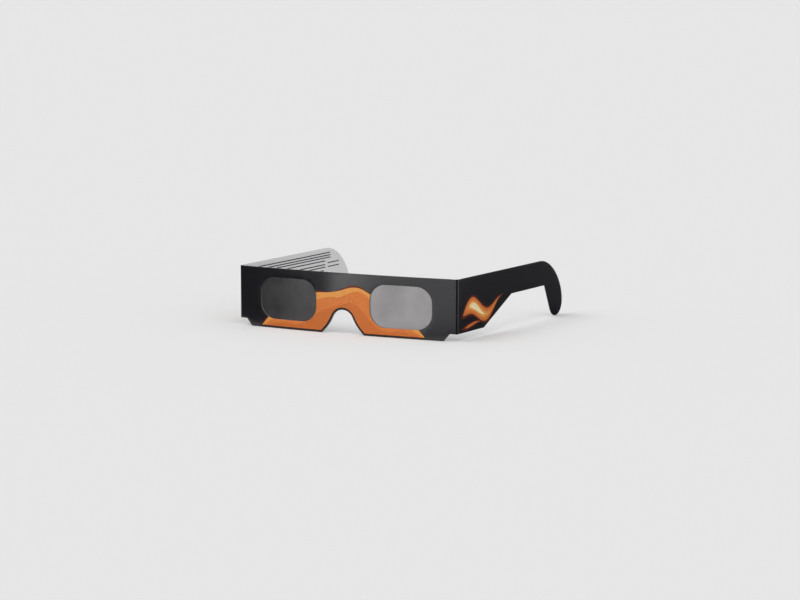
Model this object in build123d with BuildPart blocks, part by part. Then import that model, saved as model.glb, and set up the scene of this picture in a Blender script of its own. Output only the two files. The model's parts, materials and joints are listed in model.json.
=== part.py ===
"""Folding card glasses for watching an eclipse, in millimetres.

The wearer looks along -Y, so the printed front faces -Y and the arms run back along +Y. Left and right are the
wearer's, and +X is the left. Z = 0 is the surface that the front's lower edge and the two hook tips stand on, and
X = Y = 0 is the middle of the whole outline, seen from above.
"""
from build123d import *
import math
import os

os.makedirs("parts", exist_ok=True)

# Sizes of the die-cut card
front_width = 140.0
side_height = 30.1
panel_drop = 4.15
step_run = 4.65
chamfer_run = 3.6
card_thickness = 0.45

# The front is bowed about an upright axis behind it, and each arm stands a little outwards
front_bow = 4.0
arm_splay_deg = 1.35

# The pressed bead that each arm turns on, and the running gap round it
bead_radius = 0.7
bead_gap = 0.15

# Windows: rounded rectangles with slightly bulging sides, and the card left round them
bridge_width = 34.2
window_end_margin = 14.9
window_top_margin = 5.1
window_foot_margin = 5.15
window_corner_radius = 7.6
window_side_bulge = 1.4
window_edge_bulge = 0.3
rear_window_margin = 0.6

# Nose notch: its feet stand clear of the windows, and its knees and arch follow from their width
notch_window_margin = 3.5
notch_height = 13.6
notch_knee_height = 5.0
notch_knee_width_share = 0.641
notch_arch_width_share = 0.3125
notch_arch_round_share = 0.972
notch_knee_radius = 24.0
notch_foot_radius = 1.2

# Filter films, their mounting tape and the glue between the two plies of card
film_thickness = 0.10
tape_thickness = 0.08
layer_gap = 0.03
film_side_margin = 4.0
film_card_margin = 1.9
tape_window_margin = 0.8
glue_card_margin = 1.0
glue_film_clearance = 0.25

# Arm, measured back from the axis of its bead, and its ear hook, measured forward from the arm's end
arm_length = 129.0
arm_deep_run = 30.1
arm_taper_end = 63.5
arm_strip_height = 14.8
arm_taper_start_radius = 0.8
arm_taper_end_radius = 2.0
hook_run = 23.4
hook_back_run = 29.0
hook_corner_radius = 1.2
hook_tip_radius = 8.4
hook_back_handle_share = 0.49

# Depth of every cut and blank beyond what it has to pass
overrun = 2.0

# Heights above the surface that the glasses stand on
side_z = panel_drop
top_z = side_z + side_height
strip_z = top_z - arm_strip_height

# Windows and notch
window_width = (front_width - bridge_width) / 2 - window_end_margin
window_height = top_z - window_top_margin - window_foot_margin
window_x = (bridge_width + window_width) / 2
window_z = window_foot_margin + window_height / 2
notch_foot_x = bridge_width / 2 - notch_window_margin
notch_knee_x = notch_foot_x * notch_knee_width_share
notch_arch_x = notch_foot_x * notch_arch_width_share
notch_flank_turn = math.atan2(notch_height - notch_knee_height, notch_knee_x - notch_arch_x)
notch_arch_radius = notch_arch_x * notch_arch_round_share / math.tan(notch_flank_turn / 2)

# Bow of the front, as the radius of its printed face, and the two bead axes
hinge_x = front_width / 2 - bead_radius
face_radius = (hinge_x**2 + front_bow**2) / (2 * front_bow)
hinge_behind_face = face_radius - math.sqrt((face_radius - bead_radius) ** 2 - hinge_x**2)

# The arm's direction and the middle of the whole depth
splay = math.radians(arm_splay_deg)
along_arm = Vector(math.sin(splay), math.cos(splay), 0)
out_of_arm = Vector(math.cos(splay), -math.sin(splay), 0)
arm_inner_face = bead_radius - card_thickness
arm_reach = arm_length * math.cos(splay) - arm_inner_face * math.sin(splay)
face_y = -(hinge_behind_face + arm_reach) / 2
hinge_y = face_y + hinge_behind_face
bow_centre = (0, face_y + face_radius)

# Depths of the layers behind the printed face
tape_depth = card_thickness + layer_gap
film_depth = tape_depth + tape_thickness + layer_gap
film_back_depth = film_depth + film_thickness
rear_depth = film_back_depth + layer_gap
stack_depth = rear_depth + card_thickness

# Outlines shared by the layers of the front
eye_places = [(-window_x, window_z), (window_x, window_z)]
film_width = window_width + 2 * film_side_margin
film_height = top_z - 2 * film_card_margin
film_places = [(-window_x, top_z / 2), (window_x, top_z / 2)]
step_x = front_width / 2 - step_run
card_ends = [(hinge_x, side_z), (hinge_x, top_z)]
rear_ends = [(step_x, top_z)]
blank_depth = front_bow + stack_depth + overrun


def front_outline(ends):
    """The front as seen from before it. ends lists the corners beyond the chamfer's top, in order."""
    foot_x = step_x - chamfer_run
    with BuildSketch() as outline:
        with BuildLine():
            FilletPolyline(
                (0, notch_height),
                (notch_arch_x, notch_height),
                (notch_knee_x, notch_knee_height),
                (notch_foot_x, 0),
                (foot_x, 0),
                radius=[notch_arch_radius, notch_knee_radius, notch_foot_radius],
            )
            Polyline((foot_x, 0), (step_x, side_z), *ends, (0, top_z), (0, notch_height))
        make_face()
        mirror(about=Plane.YZ)
    return outline.sketch


def window_outline(margin):
    """One window about the origin, larger by margin all round."""
    half_width = window_width / 2 + margin
    half_height = window_height / 2 + margin
    corner_x = half_width - window_side_bulge
    corner_z = half_height - window_edge_bulge
    with BuildSketch() as outline:
        with BuildLine():
            for side in (-1, 1):
                ThreePointArc(
                    (-corner_x, side * corner_z), (0, side * half_height), (corner_x, side * corner_z)
                )
                ThreePointArc(
                    (side * corner_x, -corner_z), (side * half_width, 0), (side * corner_x, corner_z)
                )
        make_face()
        fillet(vertices(), window_corner_radius + margin)
    return outline.sketch


def bowed_layer(near, far):
    """The bowed strip, seen from above, between two depths behind the printed face."""
    half_angle = math.degrees(math.asin((front_width / 2) / (face_radius - stack_depth)))
    start = -90 - half_angle
    with BuildSketch() as strip:
        with BuildLine():
            near_face = CenterArc(bow_centre, face_radius - near, start, 2 * half_angle)
            far_face = CenterArc(bow_centre, face_radius - far, start, 2 * half_angle)
            Line(near_face @ 0, far_face @ 0)
            Line(near_face @ 1, far_face @ 1)
        make_face()
    return strip.sketch


# Printed outer ply of the front
with BuildPart() as front_card:
    with BuildSketch(Plane.XZ.offset(-face_y)):
        add(front_outline(card_ends))
        with Locations(*eye_places):
            add(window_outline(0), mode=Mode.SUBTRACT)
    extrude(amount=blank_depth, both=True)
    with BuildSketch():
        add(bowed_layer(0, card_thickness))
    extrude(amount=top_z, mode=Mode.INTERSECT)
    with BuildSketch():
        with Locations((-hinge_x, hinge_y), (hinge_x, hinge_y)):
            Circle(bead_radius + bead_gap)
    extrude(amount=top_z, mode=Mode.SUBTRACT)
front_card.part.label = "front_card"
export_step(front_card.part, "parts/front_card.step")

# Plain back ply, which stops short of the two folds
with BuildPart() as rear_card:
    with BuildSketch(Plane.XZ.offset(-face_y)):
        add(front_outline(rear_ends))
        with Locations(*eye_places):
            add(window_outline(rear_window_margin), mode=Mode.SUBTRACT)
    extrude(amount=blank_depth, both=True)
    with BuildSketch():
        add(bowed_layer(rear_depth, stack_depth))
    extrude(amount=top_z, mode=Mode.INTERSECT)
rear_card.part.label = "rear_card"
export_step(rear_card.part, "parts/rear_card.step")

# Glue between the plies, open where the films lie
with BuildPart() as card_adhesive:
    with BuildSketch(Plane.XZ.offset(-face_y)):
        add(front_outline(rear_ends))
        offset(amount=-glue_card_margin, mode=Mode.REPLACE)
        with Locations(*film_places):
            Rectangle(
                film_width + 2 * glue_film_clearance,
                film_height + 2 * glue_film_clearance,
                mode=Mode.SUBTRACT,
            )
    extrude(amount=blank_depth, both=True)
    with BuildSketch():
        add(bowed_layer(tape_depth, film_back_depth))
    extrude(amount=top_z, mode=Mode.INTERSECT)
card_adhesive.part.label = "card_adhesive"
export_step(card_adhesive.part, "parts/card_adhesive.step")

# Mounting tape and filter film behind each window
for side_name, eye_place, film_place in zip(("right", "left"), eye_places, film_places):
    with BuildPart() as film_tape:
        with BuildSketch(Plane.XZ.offset(-face_y)):
            with Locations(film_place):
                Rectangle(film_width, film_height)
            with Locations(eye_place):
                add(window_outline(tape_window_margin), mode=Mode.SUBTRACT)
        extrude(amount=blank_depth, both=True)
        with BuildSketch():
            add(bowed_layer(tape_depth, tape_depth + tape_thickness))
        extrude(amount=top_z, mode=Mode.INTERSECT)
    film_tape.part.label = side_name + "_film_tape"
    export_step(film_tape.part, "parts/" + side_name + "_film_tape.step")

    with BuildPart() as filter_film:
        with BuildSketch(Plane.XZ.offset(-face_y)):
            with Locations(film_place):
                Rectangle(film_width, film_height)
        extrude(amount=blank_depth, both=True)
        with BuildSketch():
            add(bowed_layer(film_depth, film_back_depth))
        extrude(amount=top_z, mode=Mode.INTERSECT)
    filter_film.part.label = side_name + "_filter_film"
    export_step(filter_film.part, "parts/" + side_name + "_filter_film.step")

# Where the hook's straight inner edge meets its round tip
tip_centre = Vector(arm_length - hook_tip_radius, hook_tip_radius)
inner_corner = Vector(arm_length - hook_run, strip_z)
to_tip = tip_centre - inner_corner
tangent_turn = math.asin(hook_tip_radius / to_tip.length)
flank_angle = math.atan2(to_tip.Y, to_tip.X) - tangent_turn
flank_length = math.sqrt(to_tip.length**2 - hook_tip_radius**2)
flank_foot = inner_corner + Vector(math.cos(flank_angle), math.sin(flank_angle)) * flank_length
shoulder = arm_length - hook_back_run
back_rise = (top_z - hook_tip_radius) * hook_back_handle_share
back_reach = hook_back_run * hook_back_handle_share

# Left arm: its side outline, cut from a strip of card that ends in the bead
with BuildPart() as left_temple:
    side_plane = Plane(origin=(hinge_x, hinge_y, 0), x_dir=along_arm, z_dir=out_of_arm)
    with BuildSketch(side_plane):
        with BuildLine():
            FilletPolyline(
                (-bead_radius, side_z),
                (arm_deep_run, side_z),
                (arm_taper_end, strip_z),
                (inner_corner.X, strip_z),
                (flank_foot.X, flank_foot.Y),
                radius=[arm_taper_start_radius, arm_taper_end_radius, hook_corner_radius],
            )
            ThreePointArc(
                (flank_foot.X, flank_foot.Y), (tip_centre.X, 0), (arm_length, hook_tip_radius)
            )
            Bezier(
                (arm_length, hook_tip_radius),
                (arm_length, hook_tip_radius + back_rise),
                (shoulder + back_reach, top_z),
                (shoulder, top_z),
            )
            Polyline((shoulder, top_z), (-bead_radius, top_z), (-bead_radius, side_z))
        make_face()
    extrude(amount=bead_radius + overrun, both=True)
    with BuildSketch(Plane(origin=(hinge_x, hinge_y, 0), x_dir=along_arm, z_dir=(0, 0, 1))):
        Circle(bead_radius)
        with Locations((0, -bead_radius)):
            Rectangle(arm_length + overrun, card_thickness, align=(Align.MIN, Align.MIN))
    extrude(amount=top_z, mode=Mode.INTERSECT)
left_temple.part.label = "left_temple"
export_step(left_temple.part, "parts/left_temple.step")

# Right arm: the same card, mirrored
with BuildPart() as right_temple:
    add(left_temple.part)
    mirror(about=Plane.YZ, mode=Mode.REPLACE)
right_temple.part.label = "right_temple"
export_step(right_temple.part, "parts/right_temple.step")
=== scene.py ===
"""Card eclipse glasses: printed card, filter film and a studio stage, built round the packed model."""
import json
import math

import bmesh
import bpy
import numpy as np
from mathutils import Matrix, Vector, noise
from mathutils.geometry import delaunay_2d_cdt


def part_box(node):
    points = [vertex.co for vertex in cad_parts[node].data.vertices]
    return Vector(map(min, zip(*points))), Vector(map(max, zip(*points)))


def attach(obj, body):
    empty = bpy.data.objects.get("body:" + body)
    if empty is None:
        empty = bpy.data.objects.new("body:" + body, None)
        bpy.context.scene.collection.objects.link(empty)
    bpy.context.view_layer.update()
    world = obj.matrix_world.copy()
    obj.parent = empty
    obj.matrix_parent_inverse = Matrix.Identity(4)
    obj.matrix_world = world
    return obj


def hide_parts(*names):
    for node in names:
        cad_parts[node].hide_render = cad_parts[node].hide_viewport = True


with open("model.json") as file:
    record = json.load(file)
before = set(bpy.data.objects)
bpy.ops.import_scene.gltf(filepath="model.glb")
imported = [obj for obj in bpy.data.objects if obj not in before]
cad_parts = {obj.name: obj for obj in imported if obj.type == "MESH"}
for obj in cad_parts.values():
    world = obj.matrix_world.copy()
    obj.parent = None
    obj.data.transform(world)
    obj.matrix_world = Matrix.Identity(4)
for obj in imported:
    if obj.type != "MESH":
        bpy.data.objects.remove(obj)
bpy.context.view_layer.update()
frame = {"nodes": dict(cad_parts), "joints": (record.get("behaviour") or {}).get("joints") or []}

bl_info = {
    "name": "Card Eclipse Glasses",
    "version": (1, 0, 0),
    "blender": (4, 5, 0),
    "location": "View3D > Sidebar > Eclipse Glasses",
    "description": "Dresses the packed card eclipse glasses with printed card, filter film and a stage",
    "category": "Object",
}

MM = 0.001
# Step along curves, longest straight edge, and spacing of the points inside a face
STEP, LONGEST, SPACING = 0.6 * MM, 2.0 * MM, 2.4 * MM
# Largest turn of an arc in one step, in radians
TURN = 0.2
# Width of the band at each end of the front that follows the hollow round the bead
END_BAND = 0.2 * MM
# The left fold's axis. The right one is its mirror image
HINGE = Vector(next(joint["pos_m"] for joint in frame["joints"] if joint["name"] == "left_fold"))
FACE_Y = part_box("front_card")[0].y
TOP_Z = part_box("front_card")[1].z
FILM_LOW, FILM_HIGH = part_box("left_filter_film")
# Material numbers of the printed card, in the order in which card_materials makes them
# The lighter band along each fold is rubbed ink and also a painted highlight of the fold's rounding
INK, WORN_INK_HIGHLIGHT, CREASE, CORE, BOARD, RULES, UMBER, EMBER, DEEP, ORANGE, AMBER, PALE = range(12)


def length(name, description, value):
    """A length property whose default is given in millimetres."""
    return bpy.props.FloatProperty(
        name=name, description=description, default=value * MM, unit="LENGTH", subtype="DISTANCE",
        precision=5)


def colour(name, description, value):
    """A colour property in linear light."""
    return bpy.props.FloatVectorProperty(
        name=name, description=description, default=value, size=3, min=0.0, max=1.0, subtype="COLOR")


class GlassesCardSizes(bpy.types.PropertyGroup):
    """Sizes of the die-cut card"""

    thickness: length("Card thickness", "Thickness of one ply of card", 0.45)
    edge_round: length("Edge rounding", "How far the die presses the cut edges round", 0.05)
    step_x: length("Step place", "Distance of the step at each lower corner from the nose", 65.35)
    chamfer_run: length("Chamfer run", "Run of the chamfer at each lower corner", 3.6)
    side_z: length("Side level", "Height of the arms' lower edge over the table", 4.15)
    front_bow: length("Front bow", "How far the front's middle stands before its ends", 4.0)
    rear_depth: length("Rear ply depth", "Depth of the rear ply behind the printed face", 0.72)
    bead_radius: length("Bead radius", "Radius of the pressed bead at each fold", 0.7)
    bead_gap: length("Bead gap", "Gap between the end of the front and the bead", 0.15)
    notch_height: length("Notch height", "Height of the nose notch", 13.6)
    notch_foot: length("Notch half width", "Half width of the nose notch at its feet", 13.6)
    window_width: length("Window width", "Width of each window", 38.0)
    window_height: length("Window height", "Height of each window", 24.0)
    window_x: length("Window place", "Distance of each window's middle from the nose", 36.1)
    window_z: length("Window level", "Height of each window's middle over the table", 17.15)
    window_corner: length("Window corner", "Corner radius of each window", 7.6)
    rear_margin: length("Rear window margin", "How much larger the rear ply's windows are all round", 0.6)
    arm_length: length("Arm length", "Length of each arm from its fold", 129.0)
    arm_strip_z: length("Strip level", "Height of the lower edge of the arm's narrow strip", 19.45)
    splay: bpy.props.FloatProperty(
        name="Arm splay", description="Angle by which each arm stands outwards",
        default=math.radians(1.35), unit="ROTATION", subtype="ANGLE")


class GlassesPrint(bpy.types.PropertyGroup):
    """Colours of the printed card"""

    ink: colour("Black ink", "Solid black of the printed card", (0.0054, 0.0051, 0.0088))
    # This light line at each fold is partly rubbed ink and partly a painted highlight along the fold's
    # rounding
    worn_and_highlight: colour("Worn ink", "Thin line at each fold where the black is rubbed", (0.068, 0.067, 0.072))
    umber: colour("Umber", "Near-black brown round the front's wave print", (0.021, 0.0085, 0.0045))
    ember: colour("Ember", "Dark red tone round the arms' waves", (0.12, 0.02, 0.008))
    deep: colour("Deep orange", "Darkest tone of the front's wave print", (0.6, 0.15, 0.021))
    orange: colour("Orange", "Main tone of the wave print", (0.69, 0.19, 0.032))
    amber: colour("Amber", "Light tone of the wave print", (0.78, 0.32, 0.062))
    pale: colour("Pale amber", "Lightest tone, in the heart of the arms' waves", (0.93, 0.76, 0.42))
    board: colour("Board", "Bare board on the inside", (0.69, 0.685, 0.69))
    core: colour("Card core", "Grey core that shows at the cut edges", (0.19, 0.19, 0.195))
    rules: colour("Ruled lines", "Grey of the plain ruled lines inside the arms", (0.017, 0.017, 0.02))
    border: length("Print border", "Dark border between the wave print and the card's edge", 1.25)


class GlassesFilm(bpy.types.PropertyGroup):
    """The silvered filter film"""

    silver: colour("Silver", "Reflection of the film's outer side", (0.372, 0.362, 0.364))
    ripple: length("Ripple", "Height of the slack ripples in the film", 0.09)
    ripple_size: length("Ripple size", "Breadth of the slack ripples", 9.0)
    sag: length("Sag", "How far the film sags back between its glued edges", 0.3)


class GlassesStage(bpy.types.PropertyGroup):
    """Floor, light and camera"""

    floor: colour("Floor", "Colour of the floor and the backdrop", (0.791, 0.791, 0.791))
    sky: bpy.props.FloatProperty(
        name="Sky", description="Strength of the even light from all round", default=0.5, min=0.0)
    sun: bpy.props.FloatProperty(
        name="Overhead light", description="Strength of the wide soft light overhead",
        default=1.45, min=0.0)
    side: bpy.props.FloatProperty(
        name="Side light", description="Strength of the wide soft light from the right",
        default=0.45, min=0.0)
    key: bpy.props.FloatProperty(
        name="Bright card", description="Strength of the bright card that the front's gloss shows",
        default=1.75, min=0.0)


def rounded(corners):
    """Points round a closed outline of (x, z, radius) corners, with arcs where a corner has a radius."""
    points = []
    for index, (x, z, radius) in enumerate(corners):
        here = Vector((x, z))
        if not radius:
            points.append(here)
            continue
        before = (Vector(corners[index - 1][:2]) - here).normalized()
        after = (Vector(corners[(index + 1) % len(corners)][:2]) - here).normalized()
        half = before.angle(after) / 2
        centre = here + (before + after).normalized() * (radius / math.sin(half))
        start = here + before * (radius / math.tan(half)) - centre
        end = here + after * (radius / math.tan(half)) - centre
        turn = math.atan2(start.x * end.y - start.y * end.x, start.dot(end))
        count = max(2, math.ceil(abs(turn) * radius / STEP), math.ceil(abs(turn) / TURN))
        for number in range(count + 1):
            sine, cosine = math.sin(turn * number / count), math.cos(turn * number / count)
            turned = (start.x * cosine - start.y * sine, start.x * sine + start.y * cosine)
            points.append(centre + Vector(turned))
    return points


def divided(points, step, closed=True):
    """The same line with its long straight runs divided about every step."""
    result = []
    for start, end in zip(points, points[1:] + points[:1] if closed else points[1:]):
        count = max(1, math.ceil((end - start).length / step))
        result += [start.lerp(end, number / count) for number in range(count)]
    return result if closed else result + [points[-1]]


def flowing(knots):
    """Points along a smooth line that passes through knots given in millimetres, with x growing."""
    x, z = (np.array(column) * MM for column in zip(*knots))
    slope = np.gradient(z, x)
    places = np.linspace(x[0], x[-1], max(2, math.ceil((x[-1] - x[0]) / STEP) + 1))
    index = np.clip(np.searchsorted(x, places) - 1, 0, len(x) - 2)
    run = x[index + 1] - x[index]
    t = (places - x[index]) / run
    heights = (
        (2 * t**3 - 3 * t**2 + 1) * z[index] + (t**3 - 2 * t**2 + t) * run * slope[index]
        + (3 * t**2 - 2 * t**3) * z[index + 1] + (t**3 - t**2) * run * slope[index + 1])
    return [Vector(pair) for pair in zip(places.tolist(), heights.tolist())]


def height_on(line, x):
    """Height of a line, whose x grows, at every x."""
    return np.interp(x, [point.x for point in line], [point.y for point in line])


def inside(points, loop):
    """Which of the points lie inside a closed loop."""
    x, z = points[:, :1], points[:, 1:]
    start = np.array([tuple(point) for point in loop])
    end = np.roll(start, -1, axis=0)
    crosses = (start[:, 1] > z) != (end[:, 1] > z)
    rise = np.where(end[:, 1] == start[:, 1], 1.0, end[:, 1] - start[:, 1])
    at_x = start[:, 0] + (z - start[:, 1]) * (end[:, 0] - start[:, 0]) / rise
    return (crosses & (x < at_x)).sum(axis=1) % 2 == 1


def inner_points(outline, lines):
    """Even points inside an outline that keep clear of all the lines' own points."""
    clearance, batch = SPACING * 0.45, 200
    rim = np.array([tuple(point) for line in lines for point in line])
    low, high = rim.min(axis=0), rim.max(axis=0)
    columns = np.arange(low[0] + SPACING / 2, high[0], SPACING)
    rows = np.arange(low[1] + SPACING / 2, high[1], SPACING)
    grid = np.array([(x, z) for x in columns for z in rows])
    grid = grid[inside(grid, outline)]
    gaps = np.full(len(grid), np.inf)
    for part in np.array_split(rim, max(1, len(rim) // batch)):
        near = np.hypot(grid[:, :1] - part[:, 0], grid[:, 1:] - part[:, 1]).min(axis=1)
        gaps = np.minimum(gaps, near)
    return [Vector(point) for point in grid[gaps > clearance]]


def edge_profile(thickness, edge_round):
    """Steps over a cut edge from the near face to the far one, as (inset, depth)."""
    bend = edge_round * (1 - math.sqrt(0.5))
    half = [(edge_round, 0.0), (bend, bend), (0.0, edge_round)]
    return half + [(inset, thickness - depth) for inset, depth in reversed(half)]


def card_ply(bm, outline, holes, lines, place, profile, paint, is_open=None):
    """Adds one ply of card to bm: its two faces, cut along every line, and the rounded walls between them.

    place(x, z, depth) gives a point of the ply in space. profile is from edge_profile. paint(centres, side)
    gives a material number for each face of the near side, the far side or the wall, and the print of each
    side goes on over its rounded edge. is_open(x) says that a wall isn't made, because the card goes on
    there into a bead, and the columns of points on that open edge are returned.
    """
    tolerance, sharpest_mitre = 1e-6, 0.5
    loops = [outline, *holes]
    coords, edges = [], []
    for closed, group in ((True, loops), (False, lines)):
        for line in group:
            first, count = len(coords), len(line)
            coords += [point / MM for point in line]
            edges += [(first + i, first + (i + 1) % count) for i in range(count if closed else count - 1)]
    coords += [point / MM for point in inner_points(outline, loops + lines)]
    points, _, faces = delaunay_2d_cdt(coords, edges, [], 0, tolerance)[:3]
    flat = [point * MM for point in points]
    faces = np.array(faces)
    centres = np.array([tuple(point) for point in flat])[faces].mean(axis=1)
    kept = inside(centres, outline)
    for hole in holes:
        kept &= ~inside(centres, hole)
    faces, centres = faces[kept], centres[kept]

    rims = {}
    for a, b, c in faces.tolist():
        for start, end in ((a, b), (b, c), (c, a)):
            if (end, start) in rims:
                del rims[end, start]
            else:
                rims[start, end] = True
    walls = [
        (start, end) for start, end in rims
        if not (is_open and is_open(flat[start].x) and is_open(flat[end].x))]
    inward = {}
    for start, end in walls:
        along = (flat[end] - flat[start]).normalized()
        for i in (start, end):
            inward.setdefault(i, []).append(Vector((-along.y, along.x)))
    # Each point becomes a column through the card. Two walls that meet share a mitred column
    columns = {}
    for i in np.unique(faces).tolist():
        if i in inward:
            total = sum(inward[i], Vector((0.0, 0.0)))
            total = total * (len(inward[i]) / max(total.length_squared, sharpest_mitre))
            steps = [(flat[i] + total * inset, depth) for inset, depth in profile]
        else:
            steps = [(flat[i], profile[0][1]), (flat[i], profile[-1][1])]
        columns[i] = [bm.verts.new(place(point.x, point.y, depth)) for point, depth in steps]

    for (a, b, c), material in zip(faces.tolist(), paint(centres, "near").tolist()):
        bm.faces.new((columns[a][0], columns[b][0], columns[c][0])).material_index = material
    for (a, b, c), material in zip(faces.tolist(), paint(centres, "far").tolist()):
        bm.faces.new((columns[c][-1], columns[b][-1], columns[a][-1])).material_index = material
    middles = np.array([tuple((flat[start] + flat[end]) / 2) for start, end in walls])
    near, wall, far = (paint(middles, side).tolist() for side in ("near", "wall", "far"))
    for number, (start, end) in enumerate(walls):
        one, two = columns[start], columns[end]
        across = [near[number]] * 2 + [wall[number]] + [far[number]] * 2
        for i, material in enumerate(across):
            bm.faces.new((two[i], one[i], one[i + 1], two[i + 1])).material_index = material
    if not is_open:
        return []
    ends = {i for pair in rims for i in pair if is_open(flat[i].x)}
    return [columns[i] for i in sorted(ends, key=lambda i: flat[i].y)]


def new_piece(bm, name, body, node, materials):
    """Turns bm into a smooth-shaded piece that rides on a body and stands for a node."""
    sharp = math.radians(32)
    bmesh.ops.recalc_face_normals(bm, faces=bm.faces)
    for face in bm.faces:
        face.smooth = True
    for edge in bm.edges:
        edge.smooth = len(edge.link_faces) == 2 and edge.calc_face_angle() < sharp
    mesh = bpy.data.meshes.new(name)
    bm.to_mesh(mesh)
    bm.free()
    for material in materials:
        mesh.materials.append(material)
    piece = bpy.data.objects.new(name, mesh)
    bpy.context.scene.collection.objects.link(piece)
    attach(piece, body)
    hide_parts(node)
    return piece


def bottom_line(sizes, end_x):
    """Lower edge of the front from the nose out to end_x, through the notch's flank."""
    arch_share, arch_round, knee_share = 0.3125, 1.6, 0.641
    knee_z, knee_radius, foot_radius = 5.0 * MM, 24.0 * MM, 1.2 * MM
    arch, knee = sizes.notch_foot * arch_share, sizes.notch_foot * knee_share
    corners = [
        (-arch, sizes.notch_height, 0.0),
        (arch, sizes.notch_height, arch * arch_round),
        (knee, knee_z, knee_radius),
        (sizes.notch_foot, 0.0, foot_radius),
        (end_x, 0.0, 0.0),
    ]
    return [Vector((0.0, sizes.notch_height))] + rounded(corners)[1:]


def front_outline(sizes, end_x):
    """The front as seen from before it, out to end_x on each side."""
    right = bottom_line(sizes, sizes.step_x - sizes.chamfer_run)
    right.append(Vector((sizes.step_x, sizes.side_z)))
    if end_x > sizes.step_x:
        right.append(Vector((end_x, sizes.side_z)))
    right.append(Vector((end_x, TOP_Z)))
    left = [Vector((-point.x, point.y)) for point in reversed(right[1:])]
    return divided(right + left, LONGEST)


def window_outline(sizes, side, margin=0.0):
    """One window: a rounded rectangle whose four sides bulge a little."""
    bulge_x, bulge_z = 1.4 * MM, 0.3 * MM
    half_x = sizes.window_width / 2 + margin - bulge_x
    half_z = sizes.window_height / 2 + margin - bulge_z
    radius = sizes.window_corner + margin
    corners = [(x * half_x, z * half_z, radius) for x, z in ((1, -1), (1, 1), (-1, 1), (-1, -1))]
    points = []
    for point in divided(rounded(corners), 2 * STEP):
        out_x = bulge_x * (1 - (point.y / half_z) ** 2) * point.x / half_x
        out_z = bulge_z * (1 - (point.x / half_x) ** 2) * point.y / half_z
        points.append(Vector((side * sizes.window_x + point.x + out_x, sizes.window_z + point.y + out_z)))
    return points


def bow_place(sizes, first_depth, end_x=None):
    """A function that lays a flat point of the front on the bow.

    At end_x the card ends in a hollow round the bead. Its gap narrows towards the back, so that no light
    comes through the fold.
    """
    radius = (HINGE.x**2 + sizes.front_bow**2) / (2 * sizes.front_bow)
    least_gap_share, narrowing, rounds = 0.04, 1.5, 6

    def on_bow(x, depth):
        """How far back the bow stands at x."""
        return FACE_Y + radius - math.sqrt((radius - depth) ** 2 - x * x)

    def place(x, z, depth):
        """The place of a flat point at a depth behind the ply's own near face."""
        depth += first_depth
        if end_x and abs(x) > end_x - END_BAND:
            gap_share = max(least_gap_share, 1 - narrowing * depth / sizes.thickness)
            hollow = sizes.bead_radius + sizes.bead_gap * gap_share
            end = end_x
            for _ in range(rounds):
                end = HINGE.x - math.sqrt(hollow**2 - (HINGE.y - on_bow(end, depth)) ** 2)
            x = math.copysign(end + abs(x) - end_x, x)
        return Vector((x, on_bow(x, depth), z))

    return place


def shifted(line, distance):
    """A line moved sideways, to its left, by a distance."""
    points = []
    for index, point in enumerate(line):
        along = line[min(index + 1, len(line) - 1)] - line[max(index - 1, 0)]
        points.append(point + Vector((-along.y, along.x)).normalized() * distance)
    return points


def front_waves(sizes, prints):
    """The front's wave print: its lower border, then its glow and three wave tops from the highest down."""
    border_end, border_run = 60.5 * MM, 1.2 * MM
    glow_height, glow_swing, glow_stretch = 0.8, 0.45, 4.7
    right = shifted(divided(bottom_line(sizes, border_end), border_run, False), prints.border)
    border = [Vector((-point.x, point.y)) for point in reversed(right[1:])] + right
    crest = flowing([
        (-54.9, 0.6), (-51.0, 4.9), (-47.0, 8.4), (-42.0, 12.0), (-34.0, 16.5), (-25.0, 19.8),
        (-17.0, 22.3), (-9.0, 22.9), (-2.0, 24.2), (5.0, 26.3), (11.0, 26.2), (17.0, 23.6),
        (25.0, 19.0), (34.0, 15.2), (40.0, 12.0), (44.2, 7.9), (47.9, 4.5), (51.4, 0.6)])
    swell = flowing([
        (-54.9, 0.5), (-47.0, 5.0), (-38.0, 9.4), (-25.0, 15.0), (-17.0, 18.2), (-9.0, 20.3), (-2.0, 20.6),
        (5.0, 23.4), (11.0, 24.2), (17.0, 21.0), (25.0, 14.8), (36.0, 9.0), (44.0, 4.4), (51.4, 0.5)])
    trough = flowing([
        (-54.9, 0.4), (-47.0, 2.4), (-38.0, 3.6), (-30.0, 3.2), (-22.0, 6.6), (-15.0, 11.6), (-8.0, 14.2),
        (0.0, 16.6), (7.0, 17.6), (13.0, 13.2), (19.0, 7.0), (27.0, 3.0), (35.0, 3.8), (43.0, 2.4),
        (51.4, 0.4)])
    glow = []
    for point in crest:
        height = glow_height + glow_swing * math.sin(point.x / MM / glow_stretch)
        glow.append(Vector((point.x, point.y + height * MM)))
    return border, [glow, crest, swell, trough]


def clipped(line, low, high):
    """The parts of a line that lie between two other lines, as separate lines."""
    parts, part = [], []
    for point in line:
        if height_on(low, point.x) < point.y < height_on(high, point.x):
            part.append(point)
        elif part:
            parts.append(part)
            part = []
    return [part for part in parts + [part] if len(part) > 1]


def fine_relief(tree, shader, scale, strength):
    """Fine relief under a coating. Returns the coordinates, which the drifts use too."""
    coords = tree.nodes.new("ShaderNodeTexCoord")
    grain = tree.nodes.new("ShaderNodeTexNoise")
    grain.inputs["Scale"].default_value = scale
    grain.inputs["Detail"].default_value = 4.0
    bump = tree.nodes.new("ShaderNodeBump")
    bump.inputs["Strength"].default_value = strength
    bump.inputs["Distance"].default_value = 0.02 * MM
    tree.links.new(coords.outputs["Object"], grain.inputs["Vector"])
    tree.links.new(grain.outputs["Fac"], bump.inputs["Height"])
    tree.links.new(bump.outputs["Normal"], shader.inputs["Normal"])
    return coords


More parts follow.
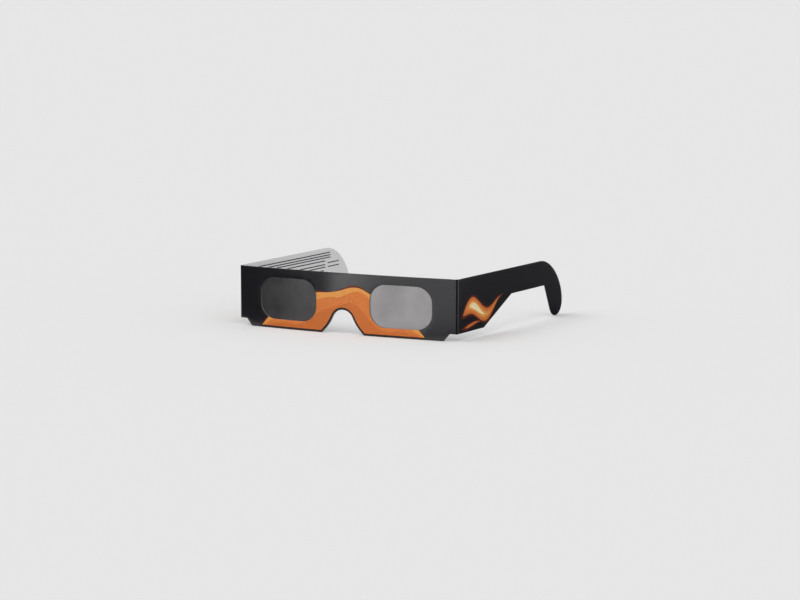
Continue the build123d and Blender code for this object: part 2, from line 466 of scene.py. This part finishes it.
def drift(tree, shader, coords, tones, scale, socket="Base Color", detail=3.0, low=0.35, high=0.65):
    """Feeds a socket with tones that drift into each other at one scale."""
    texture = tree.nodes.new("ShaderNodeTexNoise")
    texture.inputs["Scale"].default_value = scale
    texture.inputs["Detail"].default_value = detail
    ramp = tree.nodes.new("ShaderNodeValToRGB")
    places = np.linspace(low, high, len(tones)).tolist()
    ramp.color_ramp.elements[0].position, ramp.color_ramp.elements[1].position = places[0], places[-1]
    for place in places[1:-1]:
        ramp.color_ramp.elements.new(place)
    for element, tone in zip(ramp.color_ramp.elements, tones):
        element.color = (*tone, 1.0)
    tree.links.new(coords.outputs["Object"], texture.inputs["Vector"])
    tree.links.new(texture.outputs["Fac"], ramp.inputs["Fac"])
    tree.links.new(ramp.outputs["Color"], shader.inputs[socket])


def card_material(name, tones, scale, roughness, specular, relief=0.15, detail=3.0):
    """Paper or ink: tones that drift at one scale, over the relief of the paper."""
    if name in bpy.data.materials:
        return bpy.data.materials[name]
    material = bpy.data.materials.new(name)
    material.use_nodes = True
    tree = material.node_tree
    shader = tree.nodes["Principled BSDF"]
    shader.inputs["Specular IOR Level"].default_value = specular
    coords = fine_relief(tree, shader, scale=2400.0, strength=relief)
    drift(tree, shader, coords, tones, scale, detail=detail)
    glosses = [(roughness * share,) * 3 for share in (0.93, 1.08)]
    drift(tree, shader, coords, glosses, scale=320.0, socket="Roughness")
    return material


def card_materials(prints):
    """Every material of the printed card, in the order of the material numbers."""
    ink, board, core = Vector(prints.ink), Vector(prints.board), Vector(prints.core)
    rules, worn_and_highlight = Vector(prints.rules), Vector(prints.worn_and_highlight)
    made = [
        card_material("black_ink", [ink * 0.85, ink * 1.2], scale=900.0, roughness=0.30, specular=0.84),
        # Lighter ink for the band at each fold: rubbed ink, and also a painted highlight of the fold's
        # rounding
        card_material("worn_ink_and_highlight", [worn_and_highlight * 0.6, worn_and_highlight * 1.4], scale=900.0, roughness=0.5, specular=0.4),
        card_material("creased_ink", [ink * 0.8, ink * 1.3], scale=1400.0, roughness=0.85, specular=0.12),
        card_material("card_core", [core * 0.7, core * 1.2], scale=2200.0, roughness=0.8, specular=0.25),
        card_material(
            "bare_board", [board * 0.975, board * 1.02], scale=700.0, roughness=0.7, specular=0.3,
            relief=0.12),
        card_material("ruled_ink", [rules * 0.7, rules * 1.3], scale=1600.0, roughness=0.6, specular=0.3)]
    for name, tone in (
            ("umber_ink", prints.umber), ("ember_ink", prints.ember), ("deep_orange_ink", prints.deep),
            ("orange_ink", prints.orange), ("amber_ink", prints.amber), ("pale_amber_ink", prints.pale)):
        tone = Vector(tone)
        made.append(card_material(
            name, [tone * 0.8, tone, tone * 1.12], scale=1500.0, roughness=0.42, specular=0.36, detail=6.0))
    return made


class GLASSES_OT_front_card(bpy.types.Operator):
    """Makes the printed outer ply of the front"""

    bl_idname = "glasses.front_card"
    bl_label = "Front card"

    def execute(self, context):
        """Cuts, prints and bows the outer ply."""
        sizes, prints = context.scene.glasses_card, context.scene.glasses_print
        end_x = HINGE.x - math.sqrt((sizes.bead_radius + sizes.bead_gap) ** 2 - sizes.bead_radius**2)
        border, waves = front_waves(sizes, prints)
        tones = np.array([INK, EMBER, AMBER, ORANGE, DEEP])

        def paint(centres, side):
            """Material numbers of the printed face, the plain back and the cut edge."""
            x, z = centres.T
            if side == "far":
                return np.full(len(centres), BOARD)
            if side == "wall":
                return np.where(abs(x) > end_x - END_BAND, CREASE, CORE)
            below = sum((z < height_on(wave, x)).astype(int) for wave in waves)
            held = np.where(z > height_on(border, x), tones[below], np.where(below > 0, UMBER, INK))
            return np.where((x > waves[0][0].x) & (x < waves[0][-1].x), held, INK)

        ceiling = [Vector((-1.0, TOP_Z)), Vector((1.0, TOP_Z))]
        lines = [part for wave in waves for part in clipped(wave, border, ceiling)]
        lines += clipped(border, [Vector((-1.0, -1.0)), Vector((1.0, -1.0))], waves[0])
        holes = [window_outline(sizes, side) for side in (-1, 1)]
        bm = bmesh.new()
        card_ply(
            bm, front_outline(sizes, end_x), holes, lines, bow_place(sizes, 0.0, end_x),
            edge_profile(sizes.thickness, sizes.edge_round), paint)
        new_piece(bm, "printed_front", "front", "front_card", card_materials(prints))
        return {"FINISHED"}


class GLASSES_OT_rear_card(bpy.types.Operator):
    """Makes the plain back ply of the front"""

    bl_idname = "glasses.rear_card"
    bl_label = "Rear card"

    def execute(self, context):
        """Cuts and bows the back ply, whose windows are a little larger."""
        sizes, prints = context.scene.glasses_card, context.scene.glasses_print
        holes = [window_outline(sizes, side, sizes.rear_margin) for side in (-1, 1)]
        bm = bmesh.new()
        card_ply(
            bm, front_outline(sizes, sizes.step_x), holes, [], bow_place(sizes, sizes.rear_depth),
            edge_profile(sizes.thickness, sizes.edge_round),
            lambda centres, side: np.full(len(centres), CORE if side == "wall" else BOARD))
        new_piece(bm, "plain_rear", "front", "rear_card", card_materials(prints))
        return {"FINISHED"}


def arm_outline(sizes):
    """One arm flat on its side plane: s runs along it from the fold, z is the height."""
    reach, strip_z = sizes.arm_length, sizes.arm_strip_z
    deep_run, taper_end = 30.1 * MM, 63.5 * MM
    deep_radius, taper_radius, corner_radius = 0.8 * MM, 2.0 * MM, 1.2 * MM
    hook_run, back_run, tip = 23.4 * MM, 29.0 * MM, 8.4 * MM
    handle_share = 0.49
    centre, corner = Vector((reach - tip, tip)), Vector((reach - hook_run, strip_z))
    to_tip = centre - corner
    flank = math.atan2(to_tip.y, to_tip.x) - math.asin(tip / to_tip.length)
    foot = corner + Vector((math.cos(flank), math.sin(flank))) * math.sqrt(to_tip.length**2 - tip**2)
    shoulder, rise = reach - back_run, TOP_Z - tip
    corners = [
        (0.0, sizes.side_z, 0.0), (deep_run, sizes.side_z, deep_radius), (taper_end, strip_z, taper_radius),
        (corner.x, corner.y, corner_radius), (foot.x, foot.y, 0.0), (0.0, TOP_Z, 0.0)]
    points = rounded(corners)[:-1]
    start = math.atan2(foot.y - centre.y, foot.x - centre.x) % math.tau
    count = math.ceil((math.tau - start) * tip / STEP)
    for number in range(1, count + 1):
        angle = start + (math.tau - start) * number / count
        points.append(centre + Vector((math.cos(angle), math.sin(angle))) * tip)
    ends = [
        (reach, tip), (reach, tip + rise * handle_share), (shoulder + back_run * handle_share, TOP_Z),
        (shoulder, TOP_Z)]
    count = math.ceil(math.hypot(rise, reach - shoulder) / STEP)
    for number in range(1, count + 1):
        t = number / count
        weights = ((1 - t) ** 3, 3 * t * (1 - t) ** 2, 3 * t**2 * (1 - t), t**3)
        points.append(sum((Vector(end) * weight for end, weight in zip(ends, weights)), Vector((0.0, 0.0))))
    return divided(points + [Vector((0.0, TOP_Z))], LONGEST)


def arm_waves():
    """Ribbons of the arm's wave print, each as a lower line, an upper line and a material number."""
    knots, lean, fullness, pivot = 17, 0.65, 1.2, 20.0
    ribbons = []
    for level, swing, stretch, phase, tilt, nested in (
            (14.6, 3.9, 5.9, -0.95, 0.06, (
                (3.5, 54.0, 6.0, EMBER), (5.5, 50.0, 4.9, DEEP), (7.5, 46.0, 4.0, ORANGE),
                (10.0, 40.0, 3.0, AMBER), (13.0, 32.0, 1.9, PALE))),
            (7.4, 1.1, 6.4, -2.2, 0.0, ((4.0, 30.0, 1.5, EMBER), (8.0, 26.0, 0.8, DEEP)))):
        for first, last, half, tone in nested:
            low, high = [], []
            for s in np.linspace(first, last, knots).tolist():
                share = ((s - first) / (last - first)) ** lean
                swell = half * abs(math.sin(math.pi * share)) ** fullness
                middle = level + swing * math.sin(s / stretch + phase) + tilt * (s - pivot)
                low.append((s, middle - swell))
                high.append((s, middle + swell))
            ribbons.append((flowing(low), flowing(high), tone))
    return ribbons


def ruled_bars():
    """The plain ruled lines inside an arm, each as a closed bar."""
    bar_height = 0.66
    bars = []
    for first, last, z in (
            (10.0, 104.0, 31.0), (10.0, 104.5, 29.45), (10.0, 104.5, 28.05), (10.0, 98.0, 26.25),
            (10.0, 98.0, 24.0), (10.0, 98.0, 22.4), (10.0, 96.0, 20.35), (101.0, 115.0, 24.8),
            (101.0, 115.0, 22.4)):
        corners = ((first, z), (last, z), (last, z + bar_height), (first, z + bar_height))
        bars.append([Vector((s * MM, height * MM)) for s, height in corners])
    return bars


class GLASSES_OT_temples(bpy.types.Operator):
    """Makes the two arms with their pressed beads"""

    bl_idname = "glasses.temples"
    bl_label = "Arms"

    def execute(self, context):
        """Cuts and prints each arm, and closes its front end with the bead."""
        sizes, prints = context.scene.glasses_card, context.scene.glasses_print
        radius, thickness = sizes.bead_radius, sizes.thickness
        inner = radius - thickness
        meeting = math.sqrt(radius**2 - inner**2)
        at_fold, rubbed_highlight_width = 0.1 * MM, 0.5 * MM
        ribbons, bars = arm_waves(), ruled_bars()

        def paint(centres, side):
            """Material numbers of the printed outer face, the ruled inner face and the cut edge."""
            result = np.full(len(centres), {"near": INK, "far": BOARD, "wall": CORE}[side])
            if side == "wall":
                return result
            if side == "far":
                for bar in bars:
                    result[inside(centres, bar)] = RULES
                return result
            s, z = centres.T
            # A lighter band next to the fold: rubbed ink and a painted highlight of the bead's rounding
            result[s < rubbed_highlight_width] = WORN_INK_HIGHLIGHT
            for low, high, tone in ribbons:
                held = (z > height_on(low, s)) & (z < height_on(high, s))
                result[held & (s > low[0].x) & (s < low[-1].x)] = tone
            return result

        lines = [line for low, high, _ in ribbons for line in (low, high)]
        lines += [bar + bar[:1] for bar in bars] + [[Vector((rubbed_highlight_width, sizes.side_z)), Vector((rubbed_highlight_width, TOP_Z))]]
        profile = edge_profile(thickness, sizes.edge_round)
        for side, name in ((1, "left_arm"), (-1, "right_arm")):
            along = Vector((side * math.sin(sizes.splay), math.cos(sizes.splay), 0.0))
            outward = Vector((side * math.cos(sizes.splay), -math.sin(sizes.splay), 0.0))
            origin = Vector((side * HINGE.x, HINGE.y, 0.0))

            def place(s, z, depth, along=along, outward=outward, origin=origin):
                """The place of a flat point. The inner face starts where it meets the bead."""
                if s < at_fold and depth > thickness / 2:
                    s = meeting
                return origin + along * s + outward * (radius - depth) + Vector((0.0, 0.0, z))

            bm = bmesh.new()
            ends = card_ply(
                bm, arm_outline(sizes), [], lines, place, profile, paint, lambda s: s < at_fold)
            add_bead(bm, ends, origin, along, outward, radius, inner, profile)
            new_piece(
                bm, name + "_card", name, name.replace("arm", "temple"),
                card_materials(prints))
        return {"FINISHED"}


def add_bead(bm, ends, origin, along, outward, radius, inner, profile):
    """Rolls the front end of an arm into its bead, from the outer face round to the inner one."""
    last = 1.5 * math.pi + math.asin(inner / radius)
    count, rubbed_and_highlit, creased_share, crease_shade_share = 28, 2, 0.5, 0.66
    # What the bead joins: points of the outer and inner face, and how far its rounded ends draw in
    rings = []
    for index, column in enumerate(ends):
        insets = [depth for _, depth in profile] if len(column) > 2 else [0.0]
        pairs = [(column[i], column[-1 - i], insets[i]) for i in range(len(column) // 2)]
        rings += reversed(pairs) if index == 0 else pairs
    rows = []
    for front, back, inset in rings:
        row = [front]
        for number in range(1, count):
            angle = last * number / count
            spot = origin + (outward * math.cos(angle) - along * math.sin(angle)) * (radius - inset)
            row.append(bm.verts.new((spot.x, spot.y, front.co.z)))
        rows.append(row + [back])
    for lower, upper in zip(rows, rows[1:]):
        for number in range(count):
            face = bm.faces.new((lower[number], lower[number + 1], upper[number + 1], upper[number]))
            # The bead's first steps carry the same band: rubbed ink and a painted highlight
            if number < rubbed_and_highlit:
                face.material_index = WORN_INK_HIGHLIGHT
            elif number < count * creased_share:
                face.material_index = CREASE
            # Painted shade: a grey band of core colour inside each fold stands in for the soft shadow in
            # the crease, between the black and the bare board
            elif number < count * crease_shade_share:
                face.material_index = CORE
            else:
                face.material_index = BOARD
    for row in (rows[0], rows[-1]):
        bm.faces.new(row).material_index = CORE


def film_slack(sizes, film, side, x, z):
    """How far the film lies behind its flat place: ripples and sag that fade out at the window's edge."""
    glued_edge, squareness, apart = 0.4 * MM, 3.4, 0.3
    gain, fine_share, fine_scale, fine_shift = 1.4, 0.4, 2.3, Vector((7.0, 3.0, 0.0))
    u = (x - side * sizes.window_x) / (sizes.window_width / 2 - glued_edge)
    v = (z - sizes.window_z) / (sizes.window_height / 2 - glued_edge)
    inward = max(0.0, 1.0 - (abs(u) ** squareness + abs(v) ** squareness))
    spot = Vector((x + side * apart, z, 0.0)) / film.ripple_size
    wave = noise.noise(spot) + fine_share * noise.noise(spot * fine_scale + fine_shift)
    return inward * (film.ripple * wave * gain + film.sag)


class GLASSES_OT_filter_films(bpy.types.Operator):
    """Makes the two silvered films behind the windows"""

    bl_idname = "glasses.filter_films"
    bl_label = "Filter films"

    def execute(self, context):
        """Lays a slightly slack sheet behind each window."""
        sizes, film = context.scene.glasses_card, context.scene.glasses_film
        thin, first_depth = 0.1 * MM, 0.59 * MM
        across, up = 62, 42
        place = bow_place(sizes, first_depth)
        materials = [
            film_material("film_silver", film.silver, 0.25),
            film_material("film_back", Vector(film.silver) * 0.55, 0.36)]
        for side, name in ((1, "left"), (-1, "right")):
            middle = side * (FILM_LOW.x + FILM_HIGH.x) / 2
            half = (FILM_HIGH.x - FILM_LOW.x) / 2
            columns = np.linspace(middle - half, middle + half, across)
            rows = np.linspace(FILM_LOW.z, FILM_HIGH.z, up)
            bm = bmesh.new()
            front, back = (
                [[bm.verts.new(place(x, z, depth + film_slack(sizes, film, side, x, z))) for x in columns]
                 for z in rows]
                for depth in (0.0, thin))
            for i in range(up - 1):
                for j in range(across - 1):
                    bm.faces.new((front[i][j], front[i][j + 1], front[i + 1][j + 1], front[i + 1][j]))
                    face = bm.faces.new((back[i + 1][j], back[i + 1][j + 1], back[i][j + 1], back[i][j]))
                    face.material_index = 1
            rim = [(0, j) for j in range(across)]
            rim += [(i, across - 1) for i in range(1, up)]
            rim += [(up - 1, j) for j in range(across - 2, -1, -1)]
            rim += [(i, 0) for i in range(up - 2, 0, -1)]
            for (i, j), (k, m) in zip(rim, rim[1:] + rim[:1]):
                bm.faces.new((front[k][m], front[i][j], back[i][j], back[k][m])).material_index = 1
            new_piece(
                bm, name + "_film_sheet", "front", name + "_filter_film", materials)
        return {"FINISHED"}


def film_material(name, tone, roughness):
    """Silvered film with a soft, cloudy sheen."""
    material = bpy.data.materials.new(name)
    material.use_nodes = True
    tree = material.node_tree
    shader = tree.nodes["Principled BSDF"]
    shader.inputs["Metallic"].default_value = 0.97
    coords = fine_relief(tree, shader, scale=900.0, strength=0.05)
    tone = Vector(tone)
    drift(tree, shader, coords, [tone * 1.1, tone, tone * 0.9], scale=58.0, detail=2.0, low=0.37, high=0.63)
    glosses = [(roughness * share,) * 3 for share in (0.91, 1.09)]
    drift(tree, shader, coords, glosses, scale=110.0, socket="Roughness")
    return material


class GLASSES_OT_bonding(bpy.types.Operator):
    """Gives the glue and the tapes between the plies their finish"""

    bl_idname = "glasses.bonding"
    bl_label = "Glue and tapes"

    def execute(self, context):
        """Dresses the packed nodes that stay as they are."""
        glue = card_material(
            "dried_glue", [(0.5, 0.48, 0.42), (0.62, 0.6, 0.54)], scale=500.0, roughness=0.55, specular=0.4)
        tape = card_material(
            "mounting_tape", [(0.62, 0.61, 0.58), (0.72, 0.71, 0.68)], scale=600.0, roughness=0.45,
            specular=0.45)
        dressed = {"card_adhesive": glue, "left_film_tape": tape, "right_film_tape": tape}
        for node, material in dressed.items():
            frame["nodes"][node].data.materials.clear()
            frame["nodes"][node].data.materials.append(material)
        return {"FINISHED"}


class GLASSES_OT_stage(bpy.types.Operator):
    """Makes the floor, the lights and the camera"""

    bl_idname = "glasses.stage"
    bl_label = "Stage"

    def execute(self, context):
        """Sets the floor, the lights and the camera."""
        scene, stage = context.scene, context.scene.glasses_stage
        make_floor(stage)
        make_world(scene, stage)
        add_sun("overhead_light", stage.sun, (-0.13, -0.37, 0.92))
        add_sun("side_light", stage.side, (0.71, -0.41, 0.57))
        add_card(
            "front_flag", [(-210, -55, 0.3), (-17.5, -78, 0.3), (-143, -338, 260), (-620, -60, 260)],
            tone=0.08)
        add_card(
            "low_flag", [(40, -72, 0.3), (90, -72, 0.3), (90, -118, 0.3), (40, -118, 0.3)],
            tone=0.25)
        add_card(
            "arm_flag", [(71.5, -84, 0.3), (74.2, 150, 0.3), (220, 560, 120), (220, 160, 120)],
            tone=0.11)
        add_card(
            "bright_card", [(-50, -185, 1), (-92, -165, 1), (-92, -165, 60), (-50, -185, 60)],
            tone=0.8, glow=stage.key)
        add_camera(scene)
        scene.view_settings.view_transform = "Standard"
        return {"FINISHED"}


def add_camera(scene):
    """The camera, at the place, angles and focal length that were fitted to the photograph."""
    place, tip_down, turn = (0.61155, -1.1165, 0.18263), 7.668, 28.714
    camera = bpy.data.cameras.new("camera")
    camera.lens, camera.sensor_width = 99.0, 36.0
    camera.clip_start, camera.clip_end = 0.01, 400.0
    holder = bpy.data.objects.new("camera", camera)
    holder.location = place
    holder.rotation_euler = (math.radians(90 - tip_down), 0.0, math.radians(turn))
    scene.collection.objects.link(holder)
    scene.camera = holder


def make_floor(stage):
    """A wide pale floor, in rings that widen towards the horizon, just under the glasses."""
    sides, drop = 64, 0.02 * MM
    bm = bmesh.new()
    centre = bm.verts.new((0.0, 0.0, 0.0))
    last = None
    for radius in (0.4, 1.0, 3.0, 9.0, 27.0, 81.0, 243.0):
        ring = []
        for i in range(sides):
            angle = math.tau * i / sides
            ring.append(bm.verts.new((radius * math.cos(angle), radius * math.sin(angle), 0.0)))
        for i in range(sides):
            after = (i + 1) % sides
            if last is None:
                bm.faces.new((centre, ring[i], ring[after]))
            else:
                bm.faces.new((last[i], ring[i], ring[after], last[after]))
        last = ring
    mesh = bpy.data.meshes.new("floor")
    bm.to_mesh(mesh)
    bm.free()
    floor = bpy.data.objects.new("floor", mesh)
    floor.location.z = -drop
    material = bpy.data.materials.new("floor_paper")
    material.use_nodes = True
    shader = material.node_tree.nodes["Principled BSDF"]
    shader.inputs["Base Color"].default_value = (*stage.floor, 1.0)
    shader.inputs["Roughness"].default_value = 0.9
    shader.inputs["Specular IOR Level"].default_value = 0.0
    mesh.materials.append(material)
    bpy.context.scene.collection.objects.link(floor)


def make_world(scene, stage):
    """Even light from all round. The camera and glossy rays see the floor's own colour beyond it."""
    world = bpy.data.worlds.new("studio")
    scene.world = world
    world.use_nodes = True
    tree = world.node_tree
    tree.nodes.clear()
    output = tree.nodes.new("ShaderNodeOutputWorld")
    light, seen = tree.nodes.new("ShaderNodeBackground"), tree.nodes.new("ShaderNodeBackground")
    light.inputs["Strength"].default_value = stage.sky
    light.inputs["Color"].default_value = (1.0, 1.0, 1.0, 1.0)
    seen.inputs["Color"].default_value = (*stage.floor, 1.0)
    path, mix = tree.nodes.new("ShaderNodeLightPath"), tree.nodes.new("ShaderNodeMixShader")
    either, any_ray = tree.nodes.new("ShaderNodeMath"), tree.nodes.new("ShaderNodeMath")
    either.operation = any_ray.operation = "MAXIMUM"
    tree.links.new(path.outputs["Is Camera Ray"], either.inputs[0])
    tree.links.new(path.outputs["Is Glossy Ray"], either.inputs[1])
    tree.links.new(either.outputs[0], any_ray.inputs[0])
    tree.links.new(path.outputs["Is Transmission Ray"], any_ray.inputs[1])
    tree.links.new(any_ray.outputs[0], mix.inputs["Fac"])
    tree.links.new(light.outputs[0], mix.inputs[1])
    tree.links.new(seen.outputs[0], mix.inputs[2])
    tree.links.new(mix.outputs[0], output.inputs["Surface"])


def add_sun(name, strength, place):
    """A very wide, soft light from far away in the direction of a place."""
    light = bpy.data.lights.new(name, "SUN")
    light.energy = strength
    light.angle = math.radians(70)
    holder = bpy.data.objects.new(name, light)
    holder.location = place
    holder.rotation_euler = (-Vector(place)).to_track_quat("-Z", "Y").to_euler()
    bpy.context.scene.collection.objects.link(holder)


def add_card(name, corners, tone, glow=0.0):
    """A dark flag or bright card that shows only in a gloss, given by its corners in millimetres."""
    mesh = bpy.data.meshes.new(name)
    mesh.from_pydata([Vector(corner) * MM for corner in corners], [], [(0, 1, 2, 3)])
    material = bpy.data.materials.new(name)
    material.use_nodes = True
    shader = material.node_tree.nodes["Principled BSDF"]
    shader.inputs["Base Color"].default_value = (tone, tone, tone, 1.0)
    shader.inputs["Roughness"].default_value = 1.0
    shader.inputs["Specular IOR Level"].default_value = 0.0
    shader.inputs["Emission Color"].default_value = (1.0, 1.0, 1.0, 1.0)
    shader.inputs["Emission Strength"].default_value = glow
    mesh.materials.append(material)
    card = bpy.data.objects.new(name, mesh)
    bpy.context.scene.collection.objects.link(card)
    card.visible_camera = card.visible_diffuse = card.visible_shadow = card.visible_transmission = False


GROUPS = (
    ("glasses_card", GlassesCardSizes), ("glasses_print", GlassesPrint), ("glasses_film", GlassesFilm),
    ("glasses_stage", GlassesStage))
OPERATORS = (
    GLASSES_OT_front_card, GLASSES_OT_rear_card, GLASSES_OT_bonding, GLASSES_OT_filter_films,
    GLASSES_OT_temples, GLASSES_OT_stage)


class GLASSES_PT_panel(bpy.types.Panel):
    """Lists the pieces of the glasses in the order in which they are made"""

    bl_idname = "GLASSES_PT_panel"
    bl_label = "Eclipse Glasses"
    bl_space_type = "VIEW_3D"
    bl_region_type = "UI"
    bl_category = "Eclipse Glasses"

    def draw(self, context):
        """Draws the buttons and the settings."""
        for operator in OPERATORS:
            self.layout.operator(operator.bl_idname)
        for name, group in GROUPS:
            box = self.layout.box()
            box.label(text=group.__doc__)
            for field in group.__annotations__:
                box.prop(getattr(context.scene, name), field)


def register():
    """Registers the classes and hangs the settings on the scene."""
    for name, group in GROUPS:
        bpy.utils.register_class(group)
        setattr(bpy.types.Scene, name, bpy.props.PointerProperty(type=group))
    for kind in (*OPERATORS, GLASSES_PT_panel):
        bpy.utils.register_class(kind)


def unregister():
    """Takes the classes and the settings away again."""
    for kind in (GLASSES_PT_panel, *reversed(OPERATORS)):
        bpy.utils.unregister_class(kind)
    for name, group in reversed(GROUPS):
        delattr(bpy.types.Scene, name)
        bpy.utils.unregister_class(group)


def main():
    """Makes every piece and the stage."""
    register()
    bpy.ops.glasses.front_card()
    bpy.ops.glasses.rear_card()
    bpy.ops.glasses.bonding()
    bpy.ops.glasses.filter_films()
    bpy.ops.glasses.temples()
    bpy.ops.glasses.stage()


if __name__ == "__main__":
    main()
